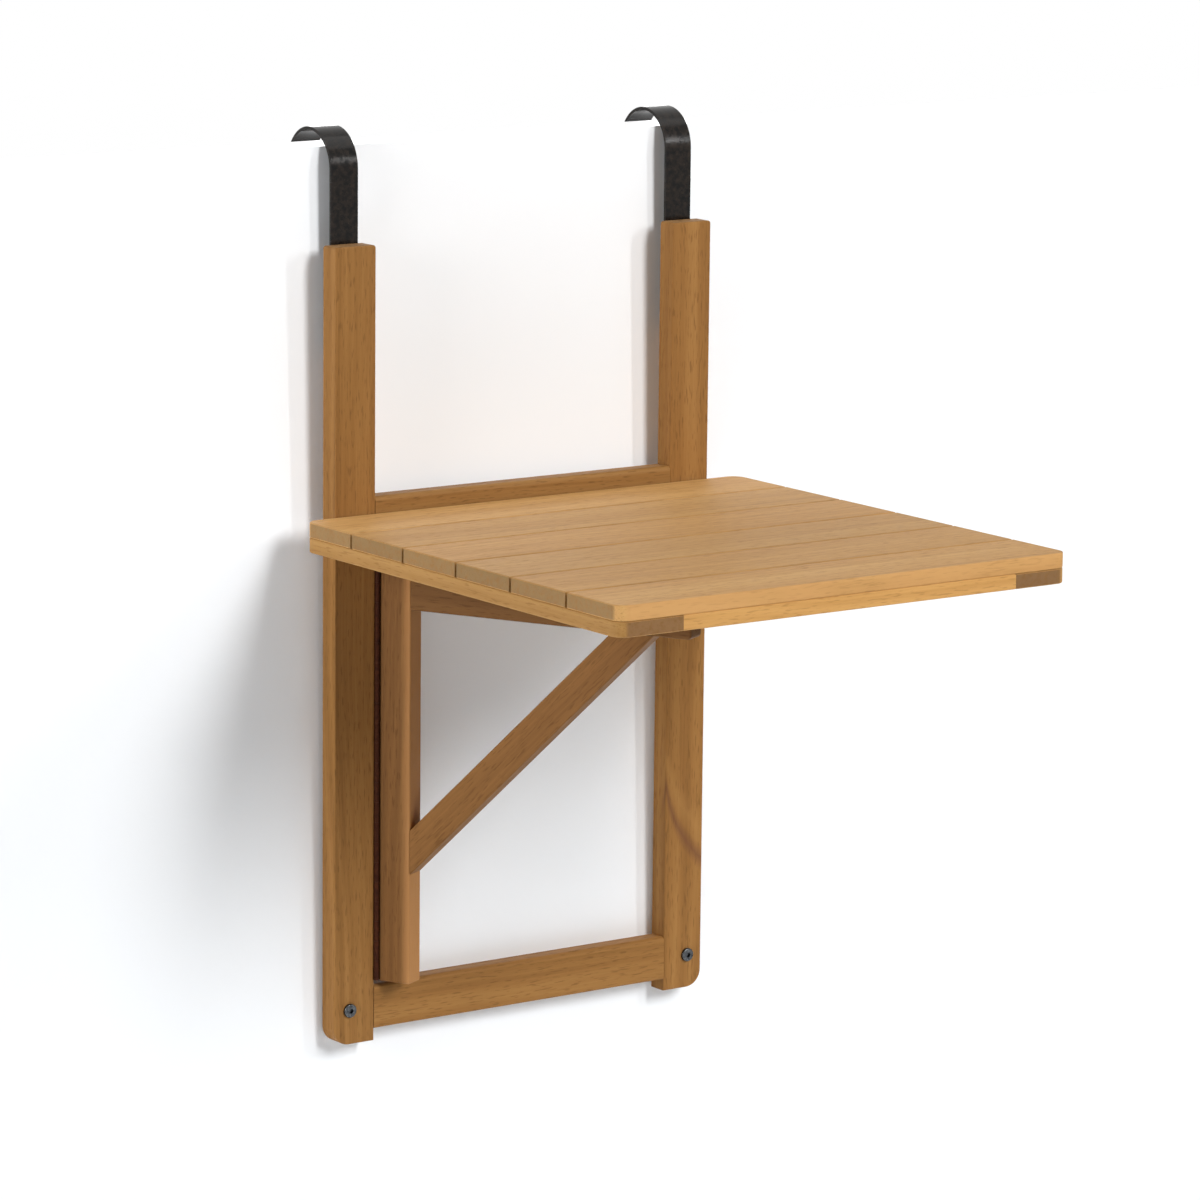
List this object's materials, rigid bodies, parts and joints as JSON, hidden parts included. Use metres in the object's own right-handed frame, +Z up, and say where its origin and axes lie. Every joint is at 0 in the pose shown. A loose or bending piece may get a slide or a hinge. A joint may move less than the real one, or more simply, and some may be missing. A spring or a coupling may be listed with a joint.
{
  "type": "folding balcony table",
  "caption": "Slatted wooden table that hangs from a balcony railing on steel hooks; its hinged top rests on a swing-out bracket under it, and both fold against the back frame.",
  "frame": {"origin": "axis of the railing that the hooks hang on, halfway between the hooks", "axes": "+X along the railing to the right as seen by the user, +Y away from the user towards the railing's far side, +Z up"},
  "size_m": [0.525, 0.633, 0.912],
  "materials": {
    "frame_wood": "oiled satin",
    "gate_wood": "oiled satin",
    "slat_wood": "oiled satin",
    "batten_wood": "oiled satin",
    "hook_steel": "dark semi-gloss",
    "bolt_zinc": "dark zinc",
    "hinge_steel": "dark semi-gloss",
    "screw_steel": "zinc",
    "insert_brass": "plain"
  },
  "bodies": {
    "frame": {"left_stile": "frame_wood", "right_stile": "frame_wood", "upper_rail": "frame_wood", "lower_rail": "frame_wood", "tenon_bolts": "bolt_zinc", "tenon_inserts": "insert_brass", "left_hook": "hook_steel", "right_hook": "hook_steel", "hook_screws": "screw_steel", "gate_hinge_stile_leaf": "hinge_steel", "gate_hinge_pin": "hinge_steel", "gate_hinge_stile_screws": "screw_steel", "left_top_hinge_rail_leaf": "hinge_steel", "right_top_hinge_rail_leaf": "hinge_steel", "left_top_hinge_pin": "hinge_steel", "right_top_hinge_pin": "hinge_steel", "top_hinge_rail_screws": "screw_steel"},
    "gate": {"gate_post": "gate_wood", "gate_arm": "gate_wood", "gate_brace": "gate_wood", "gate_dowels": "gate_wood", "gate_hinge_post_leaf": "hinge_steel", "gate_hinge_post_screws": "screw_steel"},
    "top": {"slat_1": "slat_wood", "slat_2": "slat_wood", "slat_3": "slat_wood", "slat_4": "slat_wood", "slat_5": "slat_wood", "slat_6": "slat_wood", "left_batten": "batten_wood", "right_batten": "batten_wood", "middle_batten": "batten_wood", "rear_batten": "batten_wood", "front_batten": "batten_wood", "slat_screws": "screw_steel", "stop_block": "batten_wood", "stop_cleat": "batten_wood", "stop_screws": "screw_steel", "left_top_hinge_top_leaf": "hinge_steel", "right_top_hinge_top_leaf": "hinge_steel", "top_hinge_top_screws": "screw_steel"}
  },
  "joints": [
    {"name": "gate_swing", "type": "hinge", "parent": "frame", "child": "gate", "pos_m": [-0.1775, -0.0648, -0.6], "axis": [0, 0, 1], "range_deg": [0, 62.5]},
    {"name": "top_lift", "type": "hinge", "parent": "frame", "child": "top", "pos_m": [0, -0.064, -0.3705], "axis": [-1, 0, 0], "range_deg": [0, 2.5]}
  ]
}
